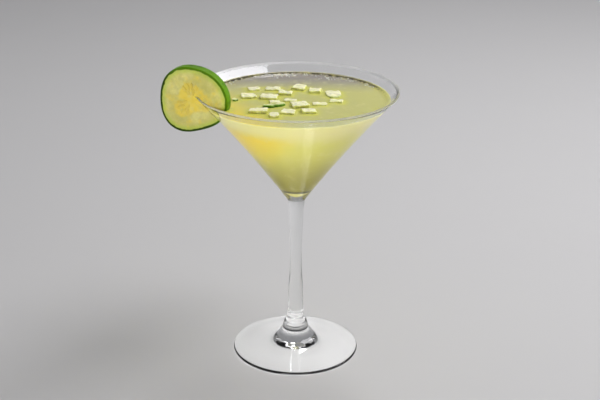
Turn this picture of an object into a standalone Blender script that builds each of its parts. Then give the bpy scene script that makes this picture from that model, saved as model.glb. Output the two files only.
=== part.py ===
"""A stemmed martini glass of cloudy green drink, garnished with cucumber.

A slice of cucumber is slit over the rim, and diced cucumber floats in the drink.
Metres, +Z up. The origin is the centre of the flat underside of the glass's foot.
"""
import math
import random

import bmesh
import bpy
from mathutils import Matrix, Vector
from mathutils.geometry import interpolate_bezier

MM = 0.001
GAP = 0.3 * MM                  # left open between neighbours
MERGE_DISTANCE = 0.001 * MM
SHARP_ANGLE = math.radians(35.0)

# Steps round the glass and the drink, along the bowl's wall, and round small curves
AROUND = 64
WALL_STEPS = 11
CURVE_STEPS = 4

# The glass: radii of its outside, and heights above the table
GLASS_HEIGHT = 162.0 * MM
LIP_HEIGHT = 161.2 * MM         # where the bowl's outside runs into its rounded lip
LIP_RADIUS = 57.4 * MM
FOOT_RADIUS = 37.3 * MM
FOOT_EDGE = 1.8 * MM            # thickness of the foot at its edge
BOWL_BASE = 96.0 * MM           # where the bowl's outside runs into the stem
BOWL_BASE_RADIUS = 5.3 * MM
LEAD_IN = 1.5 * MM              # stretch of the bowl that sets how the stem's curve starts
BOWL_FLARE = 6.0 * MM           # the part of the lip's radius that the bowl's curve adds

# The wall of the bowl, measured level, and the round tip of its inside
RIM_WALL = 1.3 * MM
BASE_WALL = 7.0 * MM
BOWL_TIP = 100.2 * MM
TIP_TOP = 101.6 * MM            # where the round tip runs into the straight wall
LEAN = math.radians(41.0)       # of the wall near the lip, from upright

# Radius and height of the stem and the top of the foot, from the bowl down
STEM_STATIONS = (
    (4.9 * MM, 94.2 * MM),
    (4.3 * MM, 89.5 * MM),
    (3.8 * MM, 77.0 * MM),
    (3.35 * MM, 62.0 * MM),
    (3.6 * MM, 50.0 * MM),
    (4.2 * MM, 40.0 * MM),
    (4.5 * MM, 29.0 * MM),
    (5.1 * MM, 20.8 * MM),
    (6.8 * MM, 17.2 * MM),
    (8.1 * MM, 13.0 * MM),
    (12.6 * MM, 7.7 * MM),
    (21.0 * MM, 4.7 * MM),
    (36.2 * MM, FOOT_EDGE),
)

DRINK_LEVEL = 155.5 * MM

# The slice on the rim. It faces the front, with its right side turned a little nearer.
SLICE_CENTRE = Vector((-56.8 * MM, -13.2 * MM, 160.0 * MM))
SLICE_TURN = math.radians(-18.0)
SLICE_THICKNESS = 5.8 * MM
SLICE_EDGE_BEVEL = 0.4 * MM
SLICE_POINTS = 48
SLIT_CUT_BOTTOM = 136.0 * MM    # below the slice's lowest point
SLIT_STEPS = 6

# Its outline is a mean radius with three waves: their number round it, height and place
SLICE_RADIUS = 19.4 * MM
SLICE_WAVES = (
    (2, 0.9 * MM, math.radians(33.0)),
    (3, 0.9 * MM, math.radians(-11.0)),
    (4, 0.3 * MM, math.radians(-149.0)),
)

# The diced pieces afloat: place of the centre, length, width, and turn in degrees
DICE = (
    (-24.8, 19.4, 7.0, 7.2, 14),
    (-13.9, 20.2, 8.4, 7.0, -8),
    (-27.6, 4.8, 8.2, 7.2, 10),
    (-15.8, 3.0, 10.0, 6.6, -6),
    (-6.6, 10.8, 8.5, 6.0, -10),
    (-12.6, -5.2, 6.6, 4.8, 12),
    (-12.3, -12.8, 13.5, 4.6, 24),
    (-3.6, -2.8, 7.0, 4.4, -12),
    (1.7, -11.4, 9.2, 8.4, 12),
    (-21.0, -22.6, 10.2, 6.4, -6),
    (-12.6, -30.6, 5.6, 6.0, 9),
    (-4.6, -23.6, 7.6, 7.2, -14),
    (6.2, -22.8, 8.0, 6.0, 8),
    (1.6, 21.6, 7.2, 7.8, -20),
    (10.2, 15.4, 7.0, 6.0, -10),
    (20.8, 9.4, 9.2, 12.0, 8),
    (12.6, -8.6, 8.2, 5.0, 5),
    (22.0, -3.2, 8.0, 5.0, -10),
    (-34.8, -2.2, 4.2, 3.6, 20),
)
DICE_WITH_SKIN = (7, 16, 19)    # numbers of the pieces with a curved side of green skin
DICE_HEIGHT = 5.0 * MM
DICE_RISE = (1.0 * MM, 1.9 * MM)    # least and most that a piece stands above the drink
DICE_UNEVEN = 0.45 * MM
DICE_TILT = math.radians(3.0)
DICE_BEVEL = 0.45 * MM
SKIN_BULGE = 0.3                # of a piece's width
SKIN_STEPS = 4
SEED = 11


def clear_scene():
    for item in list(bpy.data.objects):
        bpy.data.objects.remove(item)


def material(name, colour, roughness, transmission=0.0):
    """A plain material with its colour, roughness and clearness."""
    made = bpy.data.materials.new(name)
    made.use_nodes = True
    shader = made.node_tree.nodes["Principled BSDF"]
    shader.inputs["Base Color"].default_value = (*colour, 1.0)
    shader.inputs["Roughness"].default_value = roughness
    shader.inputs["Metallic"].default_value = 0.0
    shader.inputs["Transmission Weight"].default_value = transmission
    made.diffuse_color = (*colour, 1.0)
    return made


def finish_object(name, mesh_builder, look):
    """Turn a bmesh into a smooth-shaded object of the scene."""
    bmesh.ops.recalc_face_normals(mesh_builder, faces=mesh_builder.faces)
    mesh = bpy.data.meshes.new(name)
    mesh_builder.to_mesh(mesh)
    mesh_builder.free()
    mesh.materials.append(look)
    mesh.shade_smooth()
    mesh.set_sharp_from_angle(angle=SHARP_ANGLE)
    made = bpy.data.objects.new(name, mesh)
    bpy.context.scene.collection.objects.link(made)
    return made


def turn_outline(outline, closed):
    """Spin an outline of (radius, height) points once round the axis."""
    shape = bmesh.new()
    points = [shape.verts.new((radius, 0.0, height)) for radius, height in outline]
    pairs = list(zip(points, points[1:]))
    if closed:
        pairs.append((points[-1], points[0]))
    edges = [shape.edges.new(pair) for pair in pairs]
    bmesh.ops.spin(
        shape, geom=points + edges, cent=(0.0, 0.0, 0.0), axis=(0.0, 0.0, 1.0),
        angle=2.0 * math.pi, steps=AROUND, use_merge=True,
    )
    bmesh.ops.remove_doubles(shape, verts=shape.verts, dist=MERGE_DISTANCE)
    return shape


def outside_radius(height):
    """Radius of the bowl's outside, which opens a little faster towards the rim."""
    share = (height - BOWL_BASE) / (LIP_HEIGHT - BOWL_BASE)
    straight = LIP_RADIUS - BOWL_BASE_RADIUS - BOWL_FLARE
    return BOWL_BASE_RADIUS + straight * share + BOWL_FLARE * share ** 2


def inside_radius(height):
    """Radius of the bowl's inside: the wall thins steadily towards the rim."""
    share = (GLASS_HEIGHT - height) / (GLASS_HEIGHT - BOWL_TIP)
    return outside_radius(height) - RIM_WALL - (BASE_WALL - RIM_WALL) * share ** 3


def level_distance(distance):
    """A distance square to the bowl's wall, as measured level."""
    return distance / math.cos(LEAN)


def steps_between(start, end, count):
    return [start + (end - start) * step / count for step in range(count + 1)]


def inside_line(top, clear=0.0):
    """The bowl's inside from its tip up to a height, kept clear of the glass."""
    side = level_distance(clear)
    lowest = BOWL_TIP + clear
    join_radius = inside_radius(TIP_TOP) - side
    rise = TIP_TOP - lowest
    tip_radius = (join_radius ** 2 + rise ** 2) / (2.0 * rise)
    opening = math.asin(join_radius / tip_radius)
    points = [
        (tip_radius * math.sin(angle), lowest + tip_radius * (1.0 - math.cos(angle)))
        for angle in steps_between(0.0, opening, CURVE_STEPS)
    ]
    heights = steps_between(TIP_TOP, top, WALL_STEPS)[1:]
    points += [(inside_radius(height) - side, height) for height in heights]
    return points


def smooth_line(stations, steps=2):
    """A smooth curve of (radius, height) points through all the stations but the two ends."""
    knots = [Vector((radius, height, 0.0)) for radius, height in stations]
    points = []
    for before, start, end, after in zip(knots, knots[1:], knots[2:], knots[3:]):
        reach = (end - start).length / 3.0
        leaving = start + (end - before).normalized() * reach
        arriving = end - (after - start).normalized() * reach
        curve = interpolate_bezier(start, leaving, arriving, end, steps + 1)
        points += [(point.x, point.y) for point in curve[:-1]]
    points.append((knots[-2].x, knots[-2].y))
    return points


def lip_line():
    """The rounded lip across the leaning wall, from the inside over the top to the outside."""
    radius = RIM_WALL * math.cos(LEAN) / 2.0
    centre_radius = LIP_RADIUS - radius * math.cos(LEAN)
    centre_height = LIP_HEIGHT + radius * math.sin(LEAN)
    return [
        (centre_radius + radius * math.cos(angle), centre_height + radius * math.sin(angle))
        for angle in steps_between(math.pi - LEAN, -LEAN, CURVE_STEPS)
    ]


def foot_edge_line():
    """The foot's rounded edge, from its top face down to its underside."""
    radius = FOOT_EDGE / 2.0
    centre = FOOT_RADIUS - radius
    return [
        (centre + radius * math.sin(angle), radius + radius * math.cos(angle))
        for angle in steps_between(0.0, math.pi, CURVE_STEPS)
    ]


def make_glass(look):
    lip = lip_line()
    outline = inside_line(lip[0][1])[:-1]
    outline += lip
    heights = steps_between(LIP_HEIGHT, BOWL_BASE, WALL_STEPS)[1:]
    outline += [(outside_radius(height), height) for height in heights]
    edge = foot_edge_line()
    bowl_foot = (BOWL_BASE_RADIUS, BOWL_BASE)
    above = (outside_radius(BOWL_BASE + LEAD_IN), BOWL_BASE + LEAD_IN)
    stations = (above, bowl_foot) + STEM_STATIONS + (edge[0], edge[1])
    outline += smooth_line(stations)[1:-1]
    outline += edge
    outline.append((0.0, 0.0))
    return finish_object("glass", turn_outline(outline, closed=False), look)


def make_cutter(name, shape):
    """An object that only cuts others."""
    cutter = finish_object(name, shape, None)
    cutter.hide_render = True
    cutter.display_type = "WIRE"
    return cutter


def make_slit_cutter():
    """The bowl's wall grown by the gap, as a ring that opens the slit in the slice."""
    side = level_distance(GAP)
    top = GLASS_HEIGHT + GAP
    heights = steps_between(SLIT_CUT_BOTTOM, top, SLIT_STEPS)
    outline = [(outside_radius(height) + side, height) for height in heights]
    outline += [(inside_radius(height) - side, height) for height in reversed(heights)]
    return make_cutter("slit_cutter", turn_outline(outline, closed=True))


def slice_shape(grow=0.0):
    """The cucumber slice as an uneven disc, standing across the rim, bevelled round both faces."""
    shape = bmesh.new()
    disc = bmesh.ops.create_circle(
        shape, cap_ends=True, segments=SLICE_POINTS, radius=SLICE_RADIUS,
    )
    for vert in disc["verts"]:
        angle = math.atan2(vert.co.y, vert.co.x)
        radius = SLICE_RADIUS + grow
        for count, wave, place in SLICE_WAVES:
            radius += wave * math.cos(count * angle - place)
        vert.co = Vector((radius * math.cos(angle), radius * math.sin(angle), 0.0))
    raised = bmesh.ops.extrude_face_region(shape, geom=shape.faces[:])["geom"]
    thickness = SLICE_THICKNESS + 2.0 * grow
    lifted = [item for item in raised if isinstance(item, bmesh.types.BMVert)]
    bmesh.ops.translate(shape, verts=lifted, vec=(0.0, 0.0, thickness))
    bmesh.ops.translate(shape, verts=shape.verts, vec=(0.0, 0.0, -thickness / 2.0))
    faces = [item for item in shape.faces if len(item.verts) == SLICE_POINTS]
    rims = {edge for item in faces for edge in item.edges}
    bmesh.ops.bevel(
        shape, geom=list(rims), offset=SLICE_EDGE_BEVEL, offset_type="OFFSET",
        segments=1, profile=0.5, affect="EDGES", material=-1,
    )
    stand = Matrix.Rotation(math.radians(90.0), 4, "X")
    turn = Matrix.Rotation(SLICE_TURN, 4, "Z")
    place = Matrix.Translation(SLICE_CENTRE)
    bmesh.ops.transform(shape, matrix=place @ turn @ stand, verts=shape.verts)
    return shape


def add_cut(target, cutter=None, collection=None):
    """Take a cutter, or every object of a collection, out of the target."""
    cut = target.modifiers.new("cut", "BOOLEAN")
    cut.operation = "DIFFERENCE"
    cut.solver = "EXACT"
    if collection:
        cut.operand_type = "COLLECTION"
        cut.collection = collection
    else:
        cut.object = cutter


def make_slice(look):
    made = finish_object("cucumber_slice", slice_shape(), look)
    add_cut(made, cutter=make_slit_cutter())
    return made


def dice_outline(length, width, has_skin):
    """Corners of a diced piece seen from above, with the skin as a bulging near side."""
    corners = [(length / 2.0, width / 2.0), (-length / 2.0, width / 2.0)]
    if not has_skin:
        return corners + [(-length / 2.0, -width / 2.0), (length / 2.0, -width / 2.0)]
    bulge = SKIN_BULGE * width
    for share in steps_between(-1.0, 1.0, SKIN_STEPS):
        corners.append((share * length / 2.0, bulge * share ** 2 - width / 2.0))
    return corners


def dice_shape(number, grow=0.0):
    """One diced piece: uneven corners, softened edges, a small tilt, and its top above the drink."""
    x, y, length, width, turn = DICE[number - 1]
    draw = random.Random(SEED + number)
    size = (length * MM + 2.0 * grow, width * MM + 2.0 * grow)
    outline = dice_outline(size[0], size[1], number in DICE_WITH_SKIN)
    height = DICE_HEIGHT + 2.0 * grow
    shape = bmesh.new()
    base = shape.faces.new([shape.verts.new((px, py, -height / 2.0)) for px, py in outline])
    raised = bmesh.ops.extrude_face_region(shape, geom=[base])["geom"]
    lifted = [item for item in raised if isinstance(item, bmesh.types.BMVert)]
    bmesh.ops.translate(shape, verts=lifted, vec=(0.0, 0.0, height))
    for vert in shape.verts:
        vert.co.x += draw.uniform(-DICE_UNEVEN, DICE_UNEVEN)
        vert.co.y += draw.uniform(-DICE_UNEVEN, DICE_UNEVEN)
    bmesh.ops.bevel(
        shape, geom=shape.edges[:], offset=DICE_BEVEL, offset_type="OFFSET",
        segments=1, profile=0.5, affect="EDGES", material=-1,
    )
    tilt = Matrix.Rotation(draw.uniform(-DICE_TILT, DICE_TILT), 4, "X")
    tilt @= Matrix.Rotation(draw.uniform(-DICE_TILT, DICE_TILT), 4, "Y")
    spin = Matrix.Rotation(math.radians(turn), 4, "Z")
    rise = draw.uniform(*DICE_RISE)
    centre = Vector((x * MM, y * MM, DRINK_LEVEL + rise - DICE_HEIGHT / 2.0))
    bmesh.ops.transform(
        shape, matrix=Matrix.Translation(centre) @ spin @ tilt, verts=shape.verts,
    )
    return shape


def make_dice(look):
    for number in range(1, len(DICE) + 1):
        finish_object(f"cucumber_dice_{number:02d}", dice_shape(number), look)


def make_drink(look):
    """The drink up to its level, with a pocket round the slice and round each diced piece."""
    outline = inside_line(DRINK_LEVEL, clear=GAP)
    outline.append((0.0, DRINK_LEVEL))
    made = finish_object("drink", turn_outline(outline, closed=False), look)
    pockets = bpy.data.collections.new("pockets")
    bpy.context.scene.collection.children.link(pockets)
    cutters = [make_cutter("slice_pocket", slice_shape(grow=GAP))]
    for number in range(1, len(DICE) + 1):
        cutters.append(make_cutter(f"dice_pocket_{number:02d}", dice_shape(number, grow=GAP)))
    for cutter in cutters:
        pockets.objects.link(cutter)
    add_cut(made, collection=pockets)
    return made


def main():
    clear_scene()
    clear_glass = material("clear_glass", (0.95, 0.96, 0.97), 0.02, transmission=1.0)
    cloudy_drink = material("cloudy_drink", (0.62, 0.62, 0.27), 0.12)
    cucumber = material("cucumber", (0.66, 0.72, 0.38), 0.4)
    make_glass(clear_glass)
    make_drink(cloudy_drink)
    make_slice(cucumber)
    make_dice(cucumber)


main()
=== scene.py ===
"""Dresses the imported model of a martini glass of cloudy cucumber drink.

Each piece has an operator, which reads its sizes and colours from a group of settings.
Metres, +Z up. The origin is the centre of the flat underside of the glass's foot.
"""

import math
import random

import bmesh
import bpy
from bpy.props import FloatProperty, FloatVectorProperty, IntProperty, PointerProperty
from bpy.types import Operator, Panel, PropertyGroup
from mathutils import Matrix, Vector, noise
from mathutils.bvhtree import BVHTree
from mathutils.geometry import interpolate_bezier


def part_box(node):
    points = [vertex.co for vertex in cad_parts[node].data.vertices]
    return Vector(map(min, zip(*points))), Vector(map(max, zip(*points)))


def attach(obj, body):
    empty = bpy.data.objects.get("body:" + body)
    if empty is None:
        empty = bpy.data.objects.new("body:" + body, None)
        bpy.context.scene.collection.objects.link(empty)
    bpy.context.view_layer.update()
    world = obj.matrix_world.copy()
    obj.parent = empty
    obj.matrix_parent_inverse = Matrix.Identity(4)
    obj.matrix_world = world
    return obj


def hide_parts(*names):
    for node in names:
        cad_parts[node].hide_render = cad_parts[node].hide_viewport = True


bl_info = {
    "name": "Cucumber Martini",
    "version": (1, 0, 0),
    "blender": (4, 5, 0),
    "location": "View3D > Sidebar > Martini",
    "description": "A stemmed glass of cloudy drink with a slice of cucumber on its rim",
    "category": "Add Mesh",
}

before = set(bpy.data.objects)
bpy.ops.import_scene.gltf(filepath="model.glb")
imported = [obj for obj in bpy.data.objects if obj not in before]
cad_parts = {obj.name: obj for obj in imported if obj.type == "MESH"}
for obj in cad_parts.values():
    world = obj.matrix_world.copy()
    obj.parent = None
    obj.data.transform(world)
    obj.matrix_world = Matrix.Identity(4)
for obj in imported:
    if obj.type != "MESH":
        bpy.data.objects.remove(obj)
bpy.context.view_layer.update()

MM = 0.001
MERGE_DISTANCE = 0.001 * MM
AXIS = Vector((0.0, 0.0, 1.0))
DICE_NODES = sorted(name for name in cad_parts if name.startswith("cucumber_dice_"))

# Radius and height in millimetres of the stem and the foot's top, from the bowl down
STEM_STATIONS = (
    (4.9, 94.2), (4.3, 89.5), (3.8, 77.0), (3.35, 62.0), (3.6, 50.0),
    (4.2, 40.0), (4.5, 29.0), (5.1, 20.8), (6.8, 17.2), (8.1, 13.0),
    (12.6, 7.7), (21.0, 4.7), (36.2, 1.8),
)

# Radius and height in millimetres of the shallow hollow under the foot, from its edge inwards
HOLLOW_STATIONS = (
    (35.4, 0.0), (34.6, 0.03), (32.0, 0.45), (27.0, 1.35), (20.0, 2.45),
    (12.0, 3.3), (0.0, 3.7), (-12.0, 3.3),
)

# The slice's outline is a mean radius with three waves: their number round it, height in
# millimetres and place in degrees
SLICE_WAVES = ((2, 0.9, 33.0), (3, 0.9, -11.0), (4, 0.3, -149.0))

# Directions: the way that the slice's cut faces look, from the axis past the slice, where warm
# light is painted on the drink, away from the camera, and up to the right, where painted light
# makes the slice's skin paler
SLICE_FACING = (-0.309, -0.951, 0.0)
SLICE_SIDE = (-0.85, -0.53, 0.0)
BACKWARDS = (0.0, 1.0, 0.0)
LIT_SKIN_SIDE = (0.7, 0.0, 0.7)

# Diced pieces with skin on the near side: their length, width and turn, in millimetres and degrees
DICE_SKIN = {
    "cucumber_dice_07": (13.5, 4.6, 24.0),
    "cucumber_dice_16": (9.2, 12.0, 8.0),
    "cucumber_dice_19": (4.2, 3.6, 20.0),
}
SKIN_BULGE = 0.3        # of a diced piece's width

# Clusters of bubbles on the drink: place round it in degrees, distance in from the wall and
# spread in millimetres, and number
BUBBLE_CLUSTERS = (
    (100.0, 3.0, 3.4, 26), (88.0, 1.6, 6.5, 30), (68.0, 3.2, 3.2, 20),
    (54.0, 1.4, 7.0, 24), (31.0, 1.6, 2.6, 10), (150.0, 1.5, 9.0, 14),
    (300.0, 1.3, 12.0, 12),
)

# The seeds lie in three lobes: where the first lies, and for each of a lobe's two rings its share
# of the radius and the angles of its seeds from the lobe's middle
FIRST_LOBE = math.radians(100.0)
SEED_RINGS = ((0.24, (-0.315, 0.315)), (0.40, (-0.441, -0.147, 0.168, 0.462)))

# Relief of the slice's cut faces in millimetres: the raised ring of flesh, the sunk seed zone,
# the ribs between the seeds, and fine and coarse roughness
SWELL, SINK, RIBS, FINE, COARSE = 0.22, 0.30, 0.16, 0.06, 0.16
RELIEF_END = 0.97       # share of the radius where the relief ends
RELIEF_FADE = 0.05      # and over which it fades out
SEED_ROOM = 4.5 * MM    # below the rim, no seed lies nearer to the glass
SEED_DRAW = 5           # starts of the random draws
BUBBLE_DRAW = 23

# Waves that the knife left on the dice: their number for each millimetre and share of the height
KNIFE_WAVES = ((0.42, 1.0), (1.6, 0.4))
SIDE_WAVES = 1.2        # how much higher the waves are on a piece's sides
DICE_SMOOTHINGS = 4
NO_SKIN = 9.0           # millimetres, deeper than any colour of the skin reaches

# Rings of the drink's surface, by their distance from the wall: the first one's, the least and
# the widest step to the next, and how the steps grow with it
FIRST_STEP = 0.05 * MM
LEAST_STEP = 0.08 * MM
WIDEST_STEP = 0.6 * MM
STEP_GROWTH = 0.12
RIPPLE_HEIGHT = 0.05 * MM
RIPPLE_WIDTH = 7.0 * MM
TOUCHING = 0.05 * MM    # nearer to the wall than this, a point of the drink lies against it

# The stage: what the softboxes face, the directions from there to the ends of the large one, the
# one behind, and the low fills: each one's x, y and share of the power
SENSOR_WIDTH = 36.0
FLOOR_DROP = 0.1 * MM
SKY_RISE = 3.0          # how fast the room's light changes with height
SOFTBOX_TARGET = Vector((-0.02, 0.03, 0.158))
KEY_ENDS = (Vector((0.413, -0.262, 0.872)), Vector((0.718, 0.341, 0.607)))
KEY_DISTANCE = 1.2
KEY_SHIFT = 0.06
KEY_SIZE = (1.06, 0.6)
KEY_TONE = (0.98, 0.97, 1.0)
BACK_PLACE = Vector((0.12, 0.55, 1.1))
BACK_SIZE = (0.22, 0.22)
FILL_TARGET = Vector((0.0, 0.0, 0.14))
FILL_OPENING = math.radians(20.0)
FILL_SOFTNESS = 0.2
FILL_HEIGHT = 0.08
LOW_FILLS = ((-1.05, -0.8, 1.15), (0.75, -1.1, 0.95), (0.9, 0.95, 0.6), (-0.8, 1.05, 0.6))


def length(name, description, default):
    """A setting for a size in metres."""
    return FloatProperty(
        name=name, description=description, default=default,
        subtype="DISTANCE", unit="LENGTH", precision=5,
    )


def colour(name, description, default):
    """A setting for a colour, in linear light."""
    return FloatVectorProperty(
        name=name, description=description, default=default,
        subtype="COLOR", size=3, min=0.0, max=1.0,
    )


def amount(name, description, default):
    """A setting for a plain share or strength."""
    return FloatProperty(name=name, description=description, default=default)


def angle(name, description, degrees):
    """A setting for an angle."""
    return FloatProperty(
        name=name, description=description, default=math.radians(degrees),
        subtype="ANGLE", unit="ROTATION",
    )


def count(name, description, default):
    """A setting for a number of steps."""
    return IntProperty(name=name, description=description, default=default, min=3)


class GlassSettings(PropertyGroup):
    """Sizes and finish of the glass."""

    height: length("Height", "Nominal height of the rim above the table", 162.0 * MM)
    lip_height: length("Lip height", "Where the outside runs into the rounded lip", 161.2 * MM)
    lip_radius: length("Lip radius", "Outside radius of the bowl at the lip", 57.4 * MM)
    flare: length("Flare", "Part of the lip radius that the bowl's curve adds", 6.0 * MM)
    base_height: length("Bowl base", "Where the bowl's outside runs into the stem", 96.0 * MM)
    base_radius: length("Base radius", "Outside radius at the bowl base", 5.3 * MM)
    lead_in: length("Lead in", "Stretch of bowl that sets how the stem's curve starts", 1.5 * MM)
    rim_wall: length("Rim wall", "Level thickness of the wall at the rim", 1.3 * MM)
    base_wall: length("Base wall", "Level thickness of the wall at the bowl's tip", 7.0 * MM)
    tip_height: length("Tip height", "Lowest point of the bowl's inside", 100.2 * MM)
    tip_top: length("Tip top", "Where the round tip runs into the wall", 101.6 * MM)
    lean: angle("Lean", "Lean of the wall near the lip, from upright", 41.0)
    foot_radius: length("Foot radius", "Outer radius of the foot", 37.3 * MM)
    foot_edge: length("Foot edge", "Thickness of the foot at its edge", 1.8 * MM)
    around: count("Steps around", "Steps of the turned glass", 192)
    tint: colour("Tint", "Colour of the clear glass", (0.985, 0.992, 0.988))
    lip_haze: amount("Lip haze", "Roughness of the worn lip", 0.75)
    smear: amount("Smear", "Roughness of faint marks on the polished glass", 0.03)


class DrinkSettings(PropertyGroup):
    """Sizes and colours of the drink and its bubbles."""

    level: length("Level", "Height of the drink's flat surface", 155.5 * MM)
    reach: length("Reach", "How far the drink reaches into the wall", 0.1 * MM)
    climb: length("Climb", "How high the drink climbs the wall", 1.7 * MM)
    climb_width: length("Climb width", "How far from the wall the climb fades", 0.7 * MM)
    cling: length("Cling", "How high the drink climbs the cucumber", 0.3 * MM)
    cling_width: length("Cling width", "How far from the cucumber the cling fades", 0.7 * MM)
    around: count("Steps around", "Steps of the turned drink", 256)
    body: colour("Body", "Main colour of the cloudy drink", (0.80, 0.765, 0.18))
    # Painted light: the pale band under the surface stands in for light that comes in through it; the
    # same colour also makes pale flecks of pulp
    pale_glow_and_pulp: colour("Band", "Pale settled band under the surface", (0.88, 0.83, 0.38))
    # Painted shade: the drink is painted darker towards the tip of the bowl
    deep: colour("Deep", "Colour towards the tip of the bowl", (0.44, 0.40, 0.075))
    # Painted light: warm yellow light on the side of the drink by the slice, and on its top there
    warm_light: colour("Warm side", "Yellow of the side by the slice", (0.95, 0.755, 0.06))
    # Painted reflection: the drink's top is painted darker and greyer than its body, and greyer still
    # at the back
    surface: colour("Surface", "Colour of the surface from above", (0.60, 0.59, 0.20))
    surface_back_reflection: colour("Clear surface", "Greyer surface at the back", (0.32, 0.295, 0.26))
    glimpse: colour("Glimpse", "Cucumber just under the surface", (0.66, 0.66, 0.12))
    # Painted light and shade at the tip: a dark line of painted shade where the tip rounds off, and a
    # painted yellow glow under it
    tip_shade_height: length("Tip line", "Height of the dark line round the tip", 103.2 * MM)
    tip_shade: colour("Tip line colour", "Dark line where the tip rounds off", (0.10, 0.09, 0.035))
    painted_tip_glow: colour("Tip glow", "Bright yellow under the tip line", (0.95, 0.86, 0.30))
    # Painted shade: a dark, dotted line where the drink climbs the wall at the back
    wall_shade_line: colour("Wall line", "Dark line where the drink thins up the wall", (0.045, 0.045, 0.04))
    glimpse_width: length("Glimpse width", "How far round it the cucumber shows through", 4.4 * MM)
    # Painted highlight: the bubbles' clear film is painted whitish, with a darker tone mixed in by
    # noise
    bubble_highlight: colour("Bubble", "Bright film of the bubbles", (0.95, 0.95, 0.90))
    bubble_shade: colour("Bubble shade", "Darker film of the bubbles", (0.80, 0.82, 0.70))
    bubble_least: length("Least bubble", "Radius of the smallest bubbles", 0.14 * MM)
    bubble_most: length("Largest bubble", "Radius of the largest bubbles", 0.6 * MM)


class SliceSettings(PropertyGroup):
    """Sizes and colours of the slice on the rim."""

    centre: FloatVectorProperty(
        name="Centre", description="Centre of the slice", size=3,
        default=(-56.8 * MM, -13.2 * MM, 160.0 * MM), subtype="TRANSLATION", unit="LENGTH",
    )
    turn: angle("Turn", "Turn about the upright axis", -18.0)
    radius: length("Radius", "Mean radius", 19.4 * MM)
    thickness: length("Thickness", "Thickness of the slice", 5.8 * MM)
    edge: length("Edge", "Rounding where the skin meets the cut face", 0.45 * MM)
    around: count("Steps around", "Steps of the turned slice", 180)
    rings: count("Rings", "Steps from the middle to the edge", 52)
    slit_clear: length("Slit clearance", "Room between the slit and the glass", 0.12 * MM)
    slit_bottom: length("Slit bottom", "Height down to which the slit is cut", 136.0 * MM)
    skin_depth: length("Skin depth", "Thickness of the skin", 1.45 * MM)
    seed_length: length("Seed length", "Length of a seed", 4.6 * MM)
    seed_width: length("Seed width", "Width of a seed", 1.9 * MM)
    seed_proud: length("Seed relief", "How far a seed stands out of the cut", 0.14 * MM)
    pale: colour("Pale flesh", "Pale flesh of the slice", (0.62, 0.58, 0.205))
    seed_jelly: colour("Seed jelly", "Jelly round the seeds", (0.72, 0.55, 0.07))
    seed: colour("Seed", "Soft seeds", (0.71, 0.56, 0.10))


class DiceSettings(PropertyGroup):
    """Finish of the diced cucumber, and the colours that all the cucumber shares."""

    grid: length("Grid", "Size of the mesh on a diced piece", 0.3 * MM)
    uneven: length("Unevenness", "Height of the waves that the knife left", 0.4 * MM)
    skin_depth: length("Skin depth", "Thickness of the skin", 0.95 * MM)
    flesh: colour("Flesh", "Wet flesh of the diced pieces", (0.98, 0.96, 0.60))
    # Sides of a diced piece: tinted by the drink round them, with painted shade
    soaked_and_shaded: colour("Soaked sides", "Sides of a diced piece, soaked by the drink", (0.74, 0.75, 0.20))
    green_flesh: colour("Green flesh", "Flesh just under the skin", (0.36, 0.50, 0.05))
    # Pale flecks in the flesh: its fibres, with painted wet highlights
    fibres_and_glints: colour("Fibres", "Pale fibres in the flesh", (0.97, 0.95, 0.78))
    skin: colour("Skin", "Main colour of the skin", (0.105, 0.25, 0.003))
    skin_dark: colour("Dark skin", "Dark streaks of the skin", (0.026, 0.055, 0.003))


class StageSettings(PropertyGroup):
    """Camera, floor and lights."""

    lens: FloatProperty(
        name="Lens", description="Focal length on a 36 mm wide sensor", default=76.37,
        subtype="DISTANCE_CAMERA",
    )
    place: FloatVectorProperty(
        name="Camera place", description="Where the camera stands", size=3,
        default=(-1.225 * MM, -685.38 * MM, 369.20 * MM), subtype="TRANSLATION", unit="LENGTH",
    )
    pitch: angle("Pitch", "How far the camera looks down", 21.806)
    yaw: angle("Yaw", "Turn of the camera to the right", 0.2816)
    roll: angle("Roll", "Lean of the camera", 0.4555)
    floor_radius: length("Floor radius", "Radius of the floor", 14.0)
    floor: colour("Floor", "Plain pale floor", (0.62, 0.615, 0.61))
    sky_low: colour("Room low", "Light of the room near the floor", (0.52, 0.52, 0.53))
    sky_high: colour("Room high", "Light of the room overhead", (0.25, 0.25, 0.26))
    key_power: amount("Key power", "Watts of the large softbox", 11.0)
    back_power: amount("Back power", "Watts of the softbox above and behind", 2.5)
    fill_power: amount("Fill power", "Watts of a low fill, which lights the bowl's underside", 60.0)


class Value:
    """A number, colour or vector on its way through a shader, which can be reckoned with."""

    def __init__(self, look, socket):
        self.look = look
        self.socket = socket

    def __add__(self, other):
        return self.look.maths("ADD", self, other)

    def __sub__(self, other):
        return self.look.maths("SUBTRACT", self, other)

    def __rsub__(self, other):
        return self.look.maths("SUBTRACT", other, self)

    def __mul__(self, other):
        return self.look.maths("MULTIPLY", self, other)

    def __truediv__(self, other):
        return self.look.maths("DIVIDE", self, other)

    __radd__ = __add__
    __rmul__ = __mul__


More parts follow.
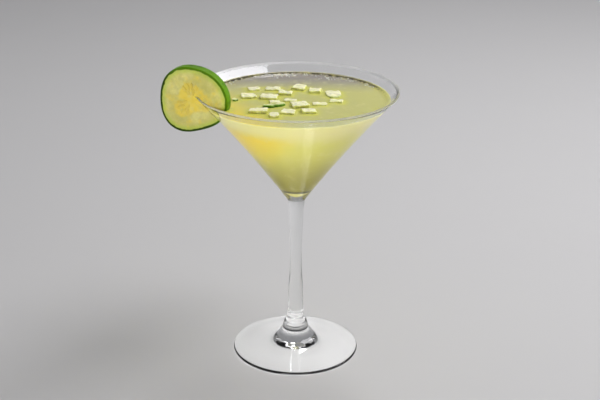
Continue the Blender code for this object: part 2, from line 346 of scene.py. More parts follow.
class Look:
    """The nodes of a material or of the room's light."""

    def __init__(self, made):
        made.use_nodes = True
        self.made = made
        self.tree = made.node_tree

    def add(self, kind, settings=None, sockets=None, output=0):
        """Add a node, with its settings first and then the values or links of its sockets."""
        node = self.tree.nodes.new(kind)
        for name, value in (settings or {}).items():
            setattr(node, name, value)
        for name, value in (sockets or {}).items():
            self.feed(node.inputs[name], value)
        return Value(self, node.outputs[output])

    def feed(self, socket, value):
        """Link or set one socket."""
        if isinstance(value, Value):
            self.tree.links.new(value.socket, socket)
        elif socket.type == "RGBA":
            socket.default_value = (*value[:3], 1.0)
        else:
            socket.default_value = value

    def finish(self, shader="Principled BSDF", **sockets):
        """Set the shader's own sockets, named with _ for a space."""
        for name, value in sockets.items():
            self.feed(self.tree.nodes[shader].inputs[name.replace("_", " ")], value)

    def maths(self, operation, first, second=0.0):
        return self.add("ShaderNodeMath", {"operation": operation}, {0: first, 1: second})

    def place(self):
        """Where a point of the piece is, in metres."""
        return self.add("ShaderNodeTexCoord", output="Object")

    def along(self, place, direction):
        """How far a point lies along a direction."""
        sockets = {0: place, 1: direction}
        return self.add("ShaderNodeVectorMath", {"operation": "DOT_PRODUCT"}, sockets, "Value")

    def facing(self, direction):
        """How far the surface faces a direction, from -1 to 1."""
        return self.along(self.add("ShaderNodeNewGeometry", output="Normal"), direction)

    def attribute(self, name):
        """A number that the mesh keeps for each point."""
        return self.add("ShaderNodeAttribute", {"attribute_name": name}, output="Fac")

    def noise(self, place, scale, detail=2.0):
        """Soft clouds between 0 and 1, about as many to a metre as the scale says."""
        sockets = {"Vector": place, "Scale": scale, "Detail": detail}
        return self.add("ShaderNodeTexNoise", None, sockets)

    def cells(self, place, scale):
        """Distance from the middle of the nearest of many small cells."""
        sockets = {"Vector": place, "Scale": scale}
        return self.add("ShaderNodeTexVoronoi", None, sockets, "Distance")

    def step(self, value, start, end):
        """0 before start and 1 after end, with a soft step between. Start may be the larger."""
        sockets = {"Value": value, "From Min": start, "From Max": end}
        settings = {"interpolation_type": "SMOOTHSTEP"}
        return self.add("ShaderNodeMapRange", settings, sockets)

    def blend(self, share, first, second):
        """A colour between two."""
        sockets = {0: share, 6: first, 7: second}
        return self.add("ShaderNodeMix", {"data_type": "RGBA"}, sockets, 2)

    def bump(self, height, distance, strength):
        sockets = {"Height": height, "Distance": distance, "Strength": strength}
        return self.add("ShaderNodeBump", None, sockets)

    def clear_to_lamps(self):
        """Let the light of lamps through the clear shader, as caustics would."""
        shadow = self.add("ShaderNodeLightPath", output="Is Shadow Ray")
        clear = Value(self, self.tree.nodes["Principled BSDF"].outputs[0])
        through = self.add("ShaderNodeBsdfTransparent")
        mixed = self.add("ShaderNodeMixShader", None, {0: shadow, 1: clear, 2: through})
        self.finish("Material Output", Surface=mixed)


class BowlLine:
    """The outline of the glass, as (radius, height) points from its settings."""

    def __init__(self, size):
        self.size = size

    def outside(self, height):
        """Radius of the bowl's outside, which opens a little faster towards the rim."""
        size = self.size
        share = (height - size.base_height) / (size.lip_height - size.base_height)
        straight = size.lip_radius - size.base_radius - size.flare
        return size.base_radius + straight * share + size.flare * share ** 2

    def inside(self, height):
        """Radius of the bowl's inside: the wall thins steadily towards the rim."""
        size = self.size
        share = (size.height - height) / (size.height - size.tip_height)
        wall = size.rim_wall + (size.base_wall - size.rim_wall) * share ** 3
        return self.outside(height) - wall

    def level_distance(self, distance):
        """A distance square to the wall, as measured level."""
        return distance / math.cos(self.size.lean)

    def inside_line(self, top, reach=0.0, wall_steps=28, tip_steps=10):
        """The bowl's inside from its tip up to a height, pushed a little into the glass."""
        size = self.size
        side = self.level_distance(reach)
        lowest = size.tip_height - reach
        join = self.inside(size.tip_top) + side
        rise = size.tip_top - lowest
        tip_radius = (join ** 2 + rise ** 2) / (2.0 * rise)
        opening = math.asin(join / tip_radius)
        points = [
            (tip_radius * math.sin(turn), lowest + tip_radius * (1.0 - math.cos(turn)))
            for turn in steps_between(0.0, opening, tip_steps)
        ]
        heights = steps_between(size.tip_top, top, wall_steps)[1:]
        return points + [(self.inside(height) + side, height) for height in heights]

    def lip_line(self, steps=12):
        """The rounded lip across the leaning wall, from the inside over to the outside."""
        size = self.size
        radius = size.rim_wall * math.cos(size.lean) / 2.0
        across = size.lip_radius - radius * math.cos(size.lean)
        up = size.lip_height + radius * math.sin(size.lean)
        return arc(across, up, radius, math.pi - size.lean, -size.lean, steps)

    def foot_edge_line(self, steps=10):
        """The foot's rounded edge, from its top face down to its underside."""
        radius = self.size.foot_edge / 2.0
        across = self.size.foot_radius - radius
        return arc(across, radius, radius, math.pi / 2.0, -math.pi / 2.0, steps)

    def whole(self, wall_steps=28):
        """The closed outline of the glass, from the bowl's tip round to the foot's centre."""
        size = self.size
        lip = self.lip_line()
        outline = self.inside_line(lip[0][1])[:-1] + lip
        heights = steps_between(size.lip_height, size.base_height, wall_steps)[1:]
        outline += [(self.outside(height), height) for height in heights]
        edge = self.foot_edge_line()
        start = size.base_height + size.lead_in
        stations = [(self.outside(start), start), (size.base_radius, size.base_height)]
        stations += [*in_metres(STEM_STATIONS), edge[0], edge[1]]
        outline += smooth_line(stations)[1:-1]
        hollow = smooth_line([edge[-1], *in_metres(HOLLOW_STATIONS)])
        hollow[-1] = (0.0, hollow[-1][1])
        return outline + edge + hollow


def steps_between(start, end, number):
    """Evenly spaced values with both ends, one more than the number of steps."""
    return [start + (end - start) * step / number for step in range(number + 1)]


def arc(across, up, radius, start, end, steps):
    """Points along a part of a circle."""
    return [
        (across + radius * math.cos(turn), up + radius * math.sin(turn))
        for turn in steps_between(start, end, steps)
    ]


def in_metres(stations):
    """Points given in millimetres."""
    return [(radius * MM, height * MM) for radius, height in stations]


def smooth_line(stations, steps=7):
    """A smooth curve of (radius, height) points through all the stations but the two ends."""
    knots = [Vector((radius, height, 0.0)) for radius, height in stations]
    points = []
    for before, start, end, after in zip(knots, knots[1:], knots[2:], knots[3:]):
        reach = (end - start).length / 3.0
        leaving = start + (end - before).normalized() * reach
        arriving = end - (after - start).normalized() * reach
        curve = interpolate_bezier(start, leaving, arriving, end, steps + 1)
        points += [(point.x, point.y) for point in curve[:-1]]
    points.append((knots[-2].x, knots[-2].y))
    return points


def turn_outline(outline, around, closed=False):
    """Spin an outline of (radius, height) points once round the axis."""
    shape = bmesh.new()
    points = [shape.verts.new((radius, 0.0, height)) for radius, height in outline]
    pairs = list(zip(points, points[1:]))
    if closed:
        pairs.append((points[-1], points[0]))
    edges = [shape.edges.new(pair) for pair in pairs]
    bmesh.ops.spin(
        shape, geom=points + edges, cent=(0.0, 0.0, 0.0), axis=AXIS,
        angle=2.0 * math.pi, steps=around, use_merge=True,
    )
    bmesh.ops.remove_doubles(shape, verts=shape.verts, dist=MERGE_DISTANCE)
    return shape


def finish_piece(name, shape, look):
    """Turn a bmesh into a smooth object, with its normals outward."""
    bmesh.ops.recalc_face_normals(shape, faces=shape.faces)
    mesh = bpy.data.meshes.new(name)
    shape.to_mesh(mesh)
    shape.free()
    if look:
        mesh.materials.append(look)
    mesh.shade_smooth()
    made = bpy.data.objects.new(name, mesh)
    bpy.context.scene.collection.objects.link(made)
    return made


def apply_modifiers(piece):
    """Keep what a piece's modifiers make as its own mesh."""
    graph = bpy.context.evaluated_depsgraph_get()
    made = bpy.data.meshes.new_from_object(piece.evaluated_get(graph))
    piece.modifiers.clear()
    piece.data = made
    made.name = piece.name


def merged_copy(node):
    """A copy of a CAD node's triangles, joined at their corners."""
    shape = bmesh.new()
    shape.from_mesh(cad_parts[node].data)
    bmesh.ops.remove_doubles(shape, verts=shape.verts, dist=MERGE_DISTANCE)
    return shape


def write_values(mesh, name, values):
    """Keep one number for each point of a mesh, for its material to read."""
    layer = mesh.attributes.new(name, "FLOAT", "POINT")
    layer.data.foreach_set("value", values)


def new_look(name):
    """A new material."""
    return Look(bpy.data.materials.new(name))


def glass_look(settings):
    """Polished clear glass with faint smears, a hardly visible waviness and a hazy worn lip."""
    look = new_look("clear_glass")
    place = look.place()
    smears = look.step(look.noise(place, 55.0, 4.0), 0.56, 0.78)
    wipes = look.step(look.noise(place, 420.0, 3.0), 0.5, 0.8)
    waves = look.noise(place, 38.0, 1.0)
    lip_height = settings.lip_height / MM
    lip = look.step(look.along(place, AXIS) / MM, lip_height - 0.5, lip_height)
    look.finish(
        Base_Color=settings.tint,
        Roughness=smears * wipes * settings.smear + lip * settings.lip_haze,
        IOR=1.5,
        Transmission_Weight=1.0,
        Normal=look.bump(waves, 0.12 * MM, 0.25),
    )
    look.clear_to_lamps()
    return look.made


def drink_look(settings):
    """Cloudy drink with painted light and shade: a pale glow under the surface, yellow light by the
    slice, shade towards the tip, dark lines of shade at tip and wall, and a reflection on its top, all
    painted.
    """
    look = new_look("cloudy_drink")
    place = look.place()
    height = look.along(place, AXIS) / MM
    clouds = look.noise(place, 42.0, 3.0) - 0.5
    settled = look.noise(place, 170.0, 4.0) - 0.5
    # Painted light: a pale band under the surface, where light comes in through it
    band = look.step(height + clouds * 6.0, 139.0, 153.0)
    # Painted shade: darker towards the tip
    depth = look.step(height + clouds * 5.0, 140.0, 106.0)
    # Painted warm light: yellow on the side of the drink by the slice, below its surface
    towards_slice = look.along(place, SLICE_SIDE) / MM
    painted_warm_light = look.step(towards_slice + clouds * 8.0, 19.0, 38.0)
    below = look.step(height + clouds * 7.0, 152.0, 143.0)
    level = settings.level / MM
    facing_up = look.step(look.facing(AXIS), -0.1, 0.25)
    top = look.step(height, level - 0.35, level - 0.1) * facing_up
    paint = look.blend(band, settings.body, settings.pale_glow_and_pulp)
    paint = look.blend(depth, paint, settings.deep)
    paint = look.blend(painted_warm_light * below, paint, settings.warm_light)
    backwards = look.along(place, BACKWARDS) / MM
    # Painted shade line round the tip, with a painted yellow glow under it
    tip = settings.tip_shade_height / MM
    paint = look.blend(look.step(height, tip, tip - 0.3), paint, settings.painted_tip_glow)
    tip_shade = look.step(height, tip - 0.5, tip - 0.1) * look.step(height, tip + 2.2, tip + 0.4)
    paint = look.blend(tip_shade * 0.85, paint, settings.tip_shade)
    # The drink's top: painted reflection, greyer towards the back, with painted warm light by the
    # slice
    surface = look.blend(
        look.step(backwards + clouds * 9.0, 12.0, 46.0), settings.surface, settings.surface_back_reflection,
    )
    surface = look.blend(look.step(towards_slice, 20.0, 44.0) * 0.75, surface, settings.warm_light)
    near = look.attribute("near_cucumber") + settled * 0.5
    surface = look.blend(look.step(near, 0.3, 0.8) * 0.75, surface, settings.glimpse)
    paint = look.blend(top, paint, surface)
    # Painted shade: a dark, dotted line where the drink climbs the wall, towards the back
    climbing = look.attribute("up_the_wall")
    dots = look.noise(place, 520.0, 2.0) - 0.5
    dotted = look.step(climbing + dots * 1.3, 0.26, 0.5)
    paint = look.blend(dotted * look.step(backwards, 2.0, 34.0), paint, settings.wall_shade_line)
    # Pale flecks of pulp, in the colour of the painted glow
    pulp = look.blend(look.step(settled, 0.05, 0.3) * 0.35, paint, settings.pale_glow_and_pulp)
    look.finish(
        Base_Color=pulp,
        Roughness=0.07 + look.step(settled, 0.0, 0.3) * 0.07,
        IOR=1.34,
        Subsurface_Weight=0.35,
        Subsurface_Radius=(1.0, 0.9, 0.35),
        Subsurface_Scale=3.0 * MM,
        Normal=look.bump(look.noise(place, 130.0, 2.0), 0.12 * MM, 0.3),
    )
    return look.made


def bubble_look(settings):
    """Thin bubbles, painted whitish to stand in for their highlights."""
    look = new_look("bubble_film")
    film = look.noise(look.place(), 900.0, 2.0)
    look.finish(
        Base_Color=look.blend(film, settings.bubble_highlight, settings.bubble_shade),
        Roughness=0.02 + film * 0.06,
        IOR=1.33,
        Transmission_Weight=0.2,
        Coat_Weight=1.0,
    )
    look.clear_to_lamps()
    return look.made


def skin_paint(look, place, settings):
    """Waxy skin, streaked and flecked on its outside, dark where it is cut, with painted light that
    makes it paler towards the top right.
    """
    streaks = look.step(look.noise(place, 210.0, 4.0), 0.34, 0.62)
    flecks = look.step(look.cells(place, 900.0), 0.28, 0.12)
    cut = look.maths("ABSOLUTE", look.facing(SLICE_FACING))
    outside = look.step(cut, 0.85, 0.45)
    # Painted light: the skin is paler up to the right, the side that the key light falls on
    skin_painted_light = look.step(look.along(place, LIT_SKIN_SIDE) / MM, 66.0, 80.0)
    paint = look.blend(streaks * outside + skin_painted_light * 0.55, settings.skin_dark, settings.skin)
    return look.blend(flecks * outside * 0.3, paint, settings.green_flesh)


def cucumber_look(name, settings, flesh, thickness, jelly=None, soaked_and_shaded=None):
    """Wet cucumber: skin, green flesh under it, pale flesh, and the jelly round the seeds; where
    asked, sides tinted by the drink, with painted shade.
    """
    look = new_look(name)
    skin_depth = thickness / MM
    place = look.place()
    clouds = look.noise(place, 330.0, 4.0)
    grain = look.noise(place, 2300.0, 3.0)
    depth = look.attribute("under_skin") + (clouds - 0.5) * 1.3
    darker = [0.78 * part for part in flesh]
    inside = look.blend(look.step(clouds, 0.38, 0.66) * 0.7, flesh, darker)
    # Pale flecks: the flesh's fibres, with painted wet highlights
    inside = look.blend(look.step(grain, 0.58, 0.75) * 0.25, inside, settings.fibres_and_glints)
    if jelly:
        drifts = look.step(look.noise(place, 95.0, 3.0), 0.38, 0.62)
        glassy = [0.66 * flesh[0], 0.66 * flesh[1], 0.5 * flesh[2]]
        inside = look.blend(drifts * 0.55, inside, glassy)
        patches = look.noise(place, 240.0, 3.0) - 0.5
        wet = look.step(look.attribute("seed_zone") + patches * 3.2, -0.1, 1.3)
        inside = look.blend(wet * 0.85, inside, jelly)
    if soaked_and_shaded:
        # Sides of a diced piece, unlike their tops: tinted by the drink, with painted shade
        sides = look.step(look.facing(AXIS) + (clouds - 0.5) * 0.5, 0.92, 0.45)
        inside = look.blend(sides * 0.8, inside, soaked_and_shaded)
    greener = look.step(depth, skin_depth + 3.4, skin_depth) * 0.6
    paint = look.blend(greener, inside, settings.green_flesh)
    in_skin = look.step(depth, skin_depth + 0.2, skin_depth - 0.3)
    paint = look.blend(in_skin, paint, skin_paint(look, place, settings))
    wetness = look.step(look.noise(place, 260.0, 2.0), 0.42, 0.62)
    relief = grain * 0.35 + clouds * 0.65
    look.finish(
        Base_Color=paint,
        Roughness=0.42 - wetness * 0.22 + in_skin * 0.08,
        IOR=1.36,
        Specular_IOR_Level=0.25,
        Subsurface_Weight=0.45,
        Subsurface_Radius=(0.9, 1.0, 0.4),
        Subsurface_Scale=1.6 * MM,
        Normal=look.bump(relief, 0.22 * MM, 0.55),
    )
    return look.made


def seed_look(settings):
    """Soft pale seeds, a little mottled."""
    look = new_look("cucumber_seed")
    mottle = look.noise(look.place(), 900.0, 3.0)
    look.finish(
        Base_Color=look.blend(mottle, settings.seed, [0.8 * part for part in settings.seed]),
        Roughness=0.16 + mottle * 0.2,
        IOR=1.38,
        Subsurface_Weight=0.4,
        Subsurface_Radius=(1.0, 0.9, 0.4),
        Subsurface_Scale=1.0 * MM,
        Normal=look.bump(mottle, 0.1 * MM, 0.4),
    )
    return look.made


def floor_look(settings):
    """A plain pale studio floor."""
    look = new_look("pale_floor")
    patches = look.noise(look.place(), 6.0, 3.0)
    look.finish(
        Base_Color=look.blend(patches, settings.floor, [0.97 * part for part in settings.floor]),
        Roughness=0.62 + patches * 0.1,
    )
    return look.made


class SliceShape:
    """The slice's own measures: its outline, and how it stands across the rim."""

    def __init__(self, settings):
        self.settings = settings
        stand = Matrix.Rotation(math.radians(90.0), 4, "X")
        turn = Matrix.Rotation(settings.turn, 4, "Z")
        self.matrix = Matrix.Translation(Vector(settings.centre)) @ turn @ stand
        self.back = self.matrix.inverted()

    def edge_radius(self, turn):
        """Radius of the uneven outline at an angle round the slice."""
        radius = self.settings.radius
        for number, wave, place in SLICE_WAVES:
            radius += wave * MM * math.cos(number * turn - math.radians(place))
        return radius

    def seed_zone(self, share, turn):
        """1 in the three lobes that hold the seeds, and 0 in the flesh round them."""
        lobe = 0.50 + 0.09 * math.cos(3.0 * (turn - FIRST_LOBE))
        return min(1.0, max(0.0, (lobe - share) / 0.14 + 0.5))

    def relief(self, share, turn, point):
        """How far the cut face stands out of its plane."""
        zone = self.seed_zone(share, turn)
        spokes = math.cos(1.5 * (turn - FIRST_LOBE)) ** 2
        ribs = math.exp(-((1.0 - spokes) * 9.0) ** 2) * zone * min(1.0, share * 4.0)
        fine = FINE * noise.noise(point * (0.5 / MM))
        coarse = COARSE * noise.noise(point * (0.16 / MM))
        swell = SWELL * math.exp(-((share - 0.74) / 0.13) ** 2)
        return (swell - SINK * zone + RIBS * ribs + fine + coarse) * MM


def slice_section(settings):
    """Half of the slice's section: over the front face, round the skin, and back."""
    half = settings.thickness / 2.0
    flat = settings.radius - settings.edge
    front = [(flat * share, half) for share in steps_between(0.0, 1.0, settings.rings)]
    start, end = math.radians(90.0), math.radians(15.0)
    corner = arc(flat, half - settings.edge, settings.edge, start, end, 4)[1:]
    side_radius, side_height = corner[-1]
    side = [
        (settings.radius - (settings.radius - side_radius) * step ** 4, side_height * step)
        for step in steps_between(1.0, 0.0, 4)[1:]
    ]
    upper = front + corner + side
    return upper + [(radius, -height) for radius, height in reversed(upper[:-1])]


def slice_body(shape_of, settings):
    """The slice as a turned section, made uneven, with relief on both cut faces."""
    shape = turn_outline(slice_section(settings), settings.around)
    for vert in shape.verts:
        turn = math.atan2(vert.co.y, vert.co.x)
        distance = math.hypot(vert.co.x, vert.co.y)
        share = distance / settings.radius
        radius = share * shape_of.edge_radius(turn)
        fade = min(1.0, (RELIEF_END - share) / RELIEF_FADE)
        if fade > 0.0:
            side = math.copysign(1.0, vert.co.z)
            point = Vector((vert.co.x, vert.co.y, vert.co.z * 3.0))
            vert.co.z += side * fade * shape_of.relief(share, turn, point)
        vert.co.x = radius * math.cos(turn)
        vert.co.y = radius * math.sin(turn)
    bmesh.ops.transform(shape, matrix=shape_of.matrix, verts=shape.verts)
    return shape


def slit_cutter(bowl, settings):
    """The bowl's wall with a little room, as a ring that opens the slit."""
    side = bowl.level_distance(settings.slit_clear)
    heights = steps_between(settings.slit_bottom, bowl.size.height + settings.slit_clear, 14)
    outline = [(bowl.outside(height) + side, height) for height in heights]
    outline += [(bowl.inside(height) - side, height) for height in reversed(heights)]
    return finish_piece("slit_cutter", turn_outline(outline, bowl.size.around, closed=True), None)


def paint_slice(piece, shape_of):
    """Write how deep each point lies under the skin, and where the seeds are."""
    depths = []
    zones = []
    for vert in piece.data.vertices:
        point = shape_of.back @ vert.co
        turn = math.atan2(point.y, point.x)
        distance = math.hypot(point.x, point.y)
        edge = shape_of.edge_radius(turn)
        depths.append((edge - distance) / MM)
        zones.append(shape_of.seed_zone(distance / edge, turn))
    write_values(piece.data, "under_skin", depths)
    write_values(piece.data, "seed_zone", zones)


def seed_places(draw):
    """Share of the radius, angle and turn of each seed: three lobes of paired rows."""
    places = []
    for lobe in range(3):
        middle = FIRST_LOBE + math.radians(120.0 * lobe)
        for share, offsets in SEED_RINGS:
            for offset in offsets:
                swing = middle + offset + draw.uniform(-0.05, 0.05)
                places.append((share + draw.uniform(-0.02, 0.02), swing, draw.uniform(-0.2, 0.2)))
    return places


def seed_shapes(shape_of, settings, bowl):
    """All the seeds of both faces, each a flat drop set into the cut."""
    draw = random.Random(SEED_DRAW)
    shape = bmesh.new()
    half = settings.thickness / 2.0
    for side in (1.0, -1.0):
        for share, swing, lean in seed_places(draw):
            radius = share * shape_of.edge_radius(swing)
            middle = Vector((radius * math.cos(swing), radius * math.sin(swing), side * half))
            middle.z += side * (shape_of.relief(share, swing, middle) - settings.seed_proud * 0.4)
            place = shape_of.matrix @ middle
            apart = abs(math.hypot(place.x, place.y) - bowl.outside(place.z))
            if place.z < bowl.size.height + 1.0 * MM and apart < SEED_ROOM:
                continue
            size = draw.uniform(0.85, 1.1)
            grow = Matrix.Diagonal((
                settings.seed_length * size / 2.0, settings.seed_width * size / 2.0,
                settings.seed_proud * 1.6, 1.0,
            ))
            spin = Matrix.Rotation(swing + lean, 4, "Z")
            made = bmesh.ops.create_uvsphere(shape, u_segments=16, v_segments=10, radius=1.0)
            for vert in made["verts"]:
                vert.co.y *= 1.0 - 0.35 * max(0.0, -vert.co.x) ** 2
            bmesh.ops.transform(
                shape, verts=made["verts"],
                matrix=shape_of.matrix @ Matrix.Translation(middle) @ spin @ grow,
            )
    return shape


def write_dice_depth(piece, node):
    """Write how deep each point of a diced piece lies under its skin, if it has skin."""
    if node not in DICE_SKIN:
        write_values(piece.data, "under_skin", [NO_SKIN] * len(piece.data.vertices))
        return
    long, wide, turn = DICE_SKIN[node]
    low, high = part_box(node)
    middle = (low + high) / 2.0
    back = Matrix.Rotation(-math.radians(turn), 4, "Z") @ Matrix.Translation(-middle)
    values = []
    for vert in piece.data.vertices:
        point = back @ vert.co / MM
        bulge = SKIN_BULGE * wide * min(1.0, abs(2.0 * point.x / long)) ** 2
        values.append(point.y + wide / 2.0 + SKIN_BULGE * wide / 2.0 - bulge)
    write_values(piece.data, "under_skin", values)


def make_dice_piece(node, settings, look):
    """One diced piece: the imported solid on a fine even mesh, with soft corners and knife waves."""
    piece = finish_piece(node + "_cut", merged_copy(node), look)
    remesh = piece.modifiers.new("even mesh", "REMESH")
    remesh.mode = "VOXEL"
    remesh.voxel_size = settings.grid
    apply_modifiers(piece)
    shape = bmesh.new()
    shape.from_mesh(piece.data)
    for _ in range(DICE_SMOOTHINGS):
        bmesh.ops.smooth_vert(
            shape, verts=shape.verts, factor=0.5, use_axis_x=True, use_axis_y=True, use_axis_z=True,
        )
    shape.normal_update()
    for vert in shape.verts:
        point = vert.co / MM
        wave = sum(share * noise.noise(point * number) for number, share in KNIFE_WAVES)
        sideways = 1.0 + SIDE_WAVES * (1.0 - abs(vert.normal.z))
        vert.co += vert.normal * (wave * sideways * settings.uneven)
    shape.to_mesh(piece.data)
    shape.free()
    piece.data.materials.clear()
    piece.data.materials.append(look)
    piece.data.shade_smooth()
    write_dice_depth(piece, node)
    return piece


def drink_outline(bowl, settings):
    """The drink's outline: up just into the wall, down its climb, and level to the middle."""
    side = bowl.level_distance(settings.reach)
    outline = bowl.inside_line(settings.level + settings.climb, settings.reach, wall_steps=40)
    distance = FIRST_STEP
    radius = outline[-1][0]
    while radius > WIDEST_STEP:
        rise = settings.climb * math.exp(-distance / settings.climb_width)
        radius = bowl.inside(settings.level + rise) + side - distance
        outline.append((radius, settings.level + rise))
        distance += min(WIDEST_STEP, LEAST_STEP + distance * STEP_GROWTH)
    outline.append((0.0, settings.level))
    return outline


def cucumber_tree():
    """All the cucumber in one tree, to find how near a point is to it."""
    shape = bmesh.new()
    for node in [*DICE_NODES, "cucumber_slice"]:
        shape.from_mesh(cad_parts[node].data)
    tree = BVHTree.FromBMesh(shape)
    shape.free()
    return tree


def shape_surface(shape, bowl, settings):
    """Let the surface climb the cucumber and ripple a little. Returns both shares by point."""
    tree = cucumber_tree()
    near = []
    climbing = []
    for vert in shape.verts:
        distance = tree.find_nearest(vert.co)[3]
        near.append(math.exp(-distance / settings.glimpse_width))
        rise = vert.co.z - settings.level
        inside = math.hypot(vert.co.x, vert.co.y) < bowl.inside(vert.co.z) - TOUCHING
        climbing.append(max(0.0, rise / settings.climb) if inside else 0.0)
        if inside and rise > -0.01 * MM:
            vert.co.z += settings.cling * math.exp(-distance / settings.cling_width)
            vert.co.z += RIPPLE_HEIGHT * noise.noise(vert.co / RIPPLE_WIDTH)
    return near, climbing


def bubble_shapes(bowl, settings):
    """Small domes of bubbles where they gather, half under the surface."""
    draw = random.Random(BUBBLE_DRAW)
    shape = bmesh.new()
    wall = bowl.inside(settings.level)
    for middle, inward, spread, number in BUBBLE_CLUSTERS:
        for _ in range(number):
            size = draw.uniform(0.0, 1.0) ** 2
            radius = settings.bubble_least + (settings.bubble_most - settings.bubble_least) * size
            turn = math.radians(middle) + draw.gauss(0.0, spread * MM) / wall
            distance = wall - max(radius, abs(draw.gauss(inward, inward * 0.5)) * MM)
            height = settings.level + settings.climb * math.exp(
                -(wall - distance) / settings.climb_width
            )
            place = (distance * math.cos(turn), distance * math.sin(turn), height)
            bmesh.ops.create_icosphere(
                shape, subdivisions=2, radius=radius, matrix=Matrix.Translation(place),
            )
    return shape


def hang_light(name, data, power, place, target, along=None):
    """Stand a light at a place, facing a target, with its long side along a direction."""
    data.energy = power
    light = bpy.data.objects.new(name, data)
    light.visible_camera = False
    bpy.context.scene.collection.objects.link(light)
    back = (place - target).normalized()
    side = along or AXIS.cross(back)
    side = (side - back * side.dot(back)).normalized()
    up = back.cross(side)
    turned = Matrix((side, up, back)).transposed().to_4x4()
    light.matrix_world = Matrix.Translation(place) @ turned
    return light


def add_softbox(name, power, size, place, along=None, tone=(1.0, 1.0, 1.0)):
    """A plain rectangular softbox that the camera itself doesn't see."""
    data = bpy.data.lights.new(name, "AREA")
    data.shape = "RECTANGLE"
    data.size, data.size_y = size
    data.color = tone
    hang_light(name, data, power, place, SOFTBOX_TARGET, along)


def add_low_fill(name, power, place):
    """A soft spot that lights only the underside of the bowl, and shows in no reflection."""
    data = bpy.data.lights.new(name, "SPOT")
    data.spot_size = FILL_OPENING
    data.spot_blend = 1.0
    data.shadow_soft_size = FILL_SOFTNESS
    light = hang_light(name, data, power, place, FILL_TARGET)
    light.visible_glossy = False
    light.visible_transmission = False


class MARTINI_OT_stage(Operator):
    """Add the camera, the pale floor, the room's light and the softboxes"""

    bl_idname = "martini.add_stage"
    bl_label = "Camera, floor and lights"

    def execute(self, context):
        settings = context.scene.martini_stage
        self.add_camera(context, settings)
        floor = bmesh.new()
        bmesh.ops.create_circle(
            floor, cap_ends=True, segments=96, radius=settings.floor_radius,
            matrix=Matrix.Translation((0.0, 0.0, -FLOOR_DROP)),
        )
        finish_piece("floor", floor, floor_look(settings))
        self.light_room(context, settings)
        near_end, far_end = KEY_ENDS
        run = (far_end - near_end).normalized()
        middle = (near_end + far_end).normalized()
        place = SOFTBOX_TARGET + middle * KEY_DISTANCE + run * KEY_SHIFT
        add_softbox("key_softbox", settings.key_power, KEY_SIZE, place, run, KEY_TONE)
        add_softbox("back_softbox", settings.back_power, BACK_SIZE, BACK_PLACE)
        for number, (x, y, share) in enumerate(LOW_FILLS, start=1):
            place = Vector((x, y, FILL_HEIGHT))
            add_low_fill(f"low_fill_{number}", settings.fill_power * share, place)
        context.scene.view_settings.view_transform = "Standard"
        return {"FINISHED"}

    def add_camera(self, context, settings):
        data = bpy.data.cameras.new("camera")
        data.lens = settings.lens
        data.sensor_width = SENSOR_WIDTH
        data.clip_start = 0.01
        camera = bpy.data.objects.new("camera", data)
        context.scene.collection.objects.link(camera)
        camera.matrix_world = (
            Matrix.Translation(Vector(settings.place))
            @ Matrix.Rotation(-settings.yaw, 4, "Z")
            @ Matrix.Rotation(math.radians(90.0) - settings.pitch, 4, "X")
            @ Matrix.Rotation(settings.roll, 4, "Z")
        )
        context.scene.camera = camera

    def light_room(self, context, settings):
        world = bpy.data.worlds.new("room")
        look = Look(world)
        around = look.add("ShaderNodeTexCoord", output="Generated")
        upward = look.along(around, AXIS)
        sky = look.blend(upward * SKY_RISE, settings.sky_low, settings.sky_high)
        look.finish("Background", Color=sky)
        context.scene.world = world


class MARTINI_OT_glass(Operator):
    """Add the turned glass with its bowl, stem and foot"""

    bl_idname = "martini.add_glass"
    bl_label = "Glass"

    def execute(self, context):
        settings = context.scene.martini_glass
        outline = BowlLine(settings).whole()
        shape = turn_outline(outline, settings.around)
        piece = finish_piece("martini_glass", shape, glass_look(settings))
        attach(piece, "root")
        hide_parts("glass")
        return {"FINISHED"}


class MARTINI_OT_drink(Operator):
    """Add the cloudy drink up to its level, climbing the wall and the cucumber"""

    bl_idname = "martini.add_drink"
    bl_label = "Drink"

    def execute(self, context):
        settings = context.scene.martini_drink
        bowl = BowlLine(context.scene.martini_glass)
        shape = turn_outline(drink_outline(bowl, settings), settings.around)
        near, climbing = shape_surface(shape, bowl, settings)
        piece = finish_piece("cloudy_drink_body", shape, drink_look(settings))
        write_values(piece.data, "near_cucumber", near)
        write_values(piece.data, "up_the_wall", climbing)
        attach(piece, "root")
        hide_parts("drink")
        return {"FINISHED"}


class MARTINI_OT_bubbles(Operator):
    """Add the small bubbles that gather along the wall"""

    bl_idname = "martini.add_bubbles"
    bl_label = "Bubbles"

    def execute(self, context):
        settings = context.scene.martini_drink
        bowl = BowlLine(context.scene.martini_glass)
        piece = finish_piece("drink_bubbles", bubble_shapes(bowl, settings), bubble_look(settings))
        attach(piece, "root")
        return {"FINISHED"}


class MARTINI_OT_slice(Operator):
    """Add the cucumber slice, slit over the rim, with its seeds"""

    bl_idname = "martini.add_slice"
    bl_label = "Cucumber slice"

    def execute(self, context):
        settings = context.scene.martini_slice
        shared = context.scene.martini_dice
        bowl = BowlLine(context.scene.martini_glass)
        shape_of = SliceShape(settings)
        look = cucumber_look(
            "cucumber_slice_flesh", shared, settings.pale, settings.skin_depth, settings.seed_jelly,
        )
        piece = finish_piece("cucumber_slice_cut", slice_body(shape_of, settings), look)
        cutter = slit_cutter(bowl, settings)
        slit = piece.modifiers.new("slit", "BOOLEAN")
        slit.operation = "DIFFERENCE"
        slit.solver = "EXACT"
        slit.object = cutter
        apply_modifiers(piece)
        bpy.data.objects.remove(cutter)
        paint_slice(piece, shape_of)
        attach(piece, "root")
        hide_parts("cucumber_slice")
        seeds = finish_piece("slice_seeds", seed_shapes(shape_of, settings, bowl), seed_look(settings))
        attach(seeds, "root")
        return {"FINISHED"}


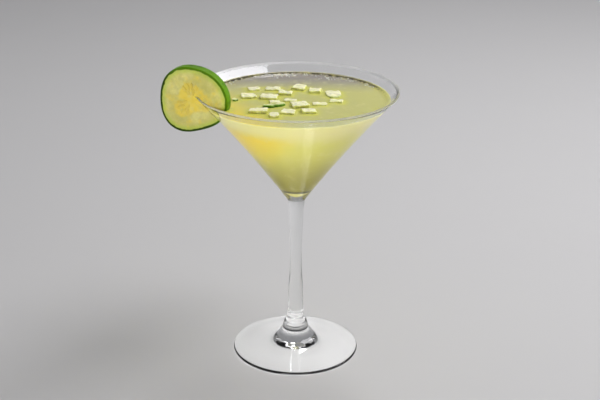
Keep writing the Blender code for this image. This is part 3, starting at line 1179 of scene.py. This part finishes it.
class MARTINI_OT_dice(Operator):
    """Add the diced cucumber that floats in the drink"""

    bl_idname = "martini.add_dice"
    bl_label = "Diced cucumber"

    def execute(self, context):
        settings = context.scene.martini_dice
        look = cucumber_look(
            "cucumber_dice_flesh", settings, settings.flesh, settings.skin_depth,
            soaked_and_shaded=settings.soaked_and_shaded,
        )
        for node in DICE_NODES:
            piece = make_dice_piece(node, settings, look)
            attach(piece, "root")
            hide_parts(node)
        return {"FINISHED"}


class MARTINI_PT_panel(Panel):
    """Lists the pieces and their settings"""

    bl_label = "Cucumber Martini"
    bl_idname = "MARTINI_PT_panel"
    bl_space_type = "VIEW_3D"
    bl_region_type = "UI"
    bl_category = "Martini"

    def draw(self, context):
        for operator, group in PIECES:
            box = self.layout.box()
            box.operator(operator.bl_idname, text=operator.bl_label)
            settings = getattr(context.scene, group)
            for name in settings.bl_rna.properties.keys():
                if name not in ("rna_type", "name"):
                    box.prop(settings, name)


PIECES = (
    (MARTINI_OT_stage, "martini_stage"),
    (MARTINI_OT_glass, "martini_glass"),
    (MARTINI_OT_drink, "martini_drink"),
    (MARTINI_OT_bubbles, "martini_drink"),
    (MARTINI_OT_slice, "martini_slice"),
    (MARTINI_OT_dice, "martini_dice"),
)
GROUPS = (
    ("martini_glass", GlassSettings),
    ("martini_drink", DrinkSettings),
    ("martini_slice", SliceSettings),
    ("martini_dice", DiceSettings),
    ("martini_stage", StageSettings),
)


def register():
    for name, group in GROUPS:
        bpy.utils.register_class(group)
        setattr(bpy.types.Scene, name, PointerProperty(type=group))
    for operator, _ in PIECES:
        bpy.utils.register_class(operator)
    bpy.utils.register_class(MARTINI_PT_panel)


def unregister():
    bpy.utils.unregister_class(MARTINI_PT_panel)
    for operator, _ in reversed(PIECES):
        bpy.utils.unregister_class(operator)
    for name, group in reversed(GROUPS):
        delattr(bpy.types.Scene, name)
        bpy.utils.unregister_class(group)


def main():
    register()
    bpy.ops.martini.add_stage()
    bpy.ops.martini.add_glass()
    bpy.ops.martini.add_drink()
    bpy.ops.martini.add_bubbles()
    bpy.ops.martini.add_slice()
    bpy.ops.martini.add_dice()


if __name__ == "__main__":
    main()
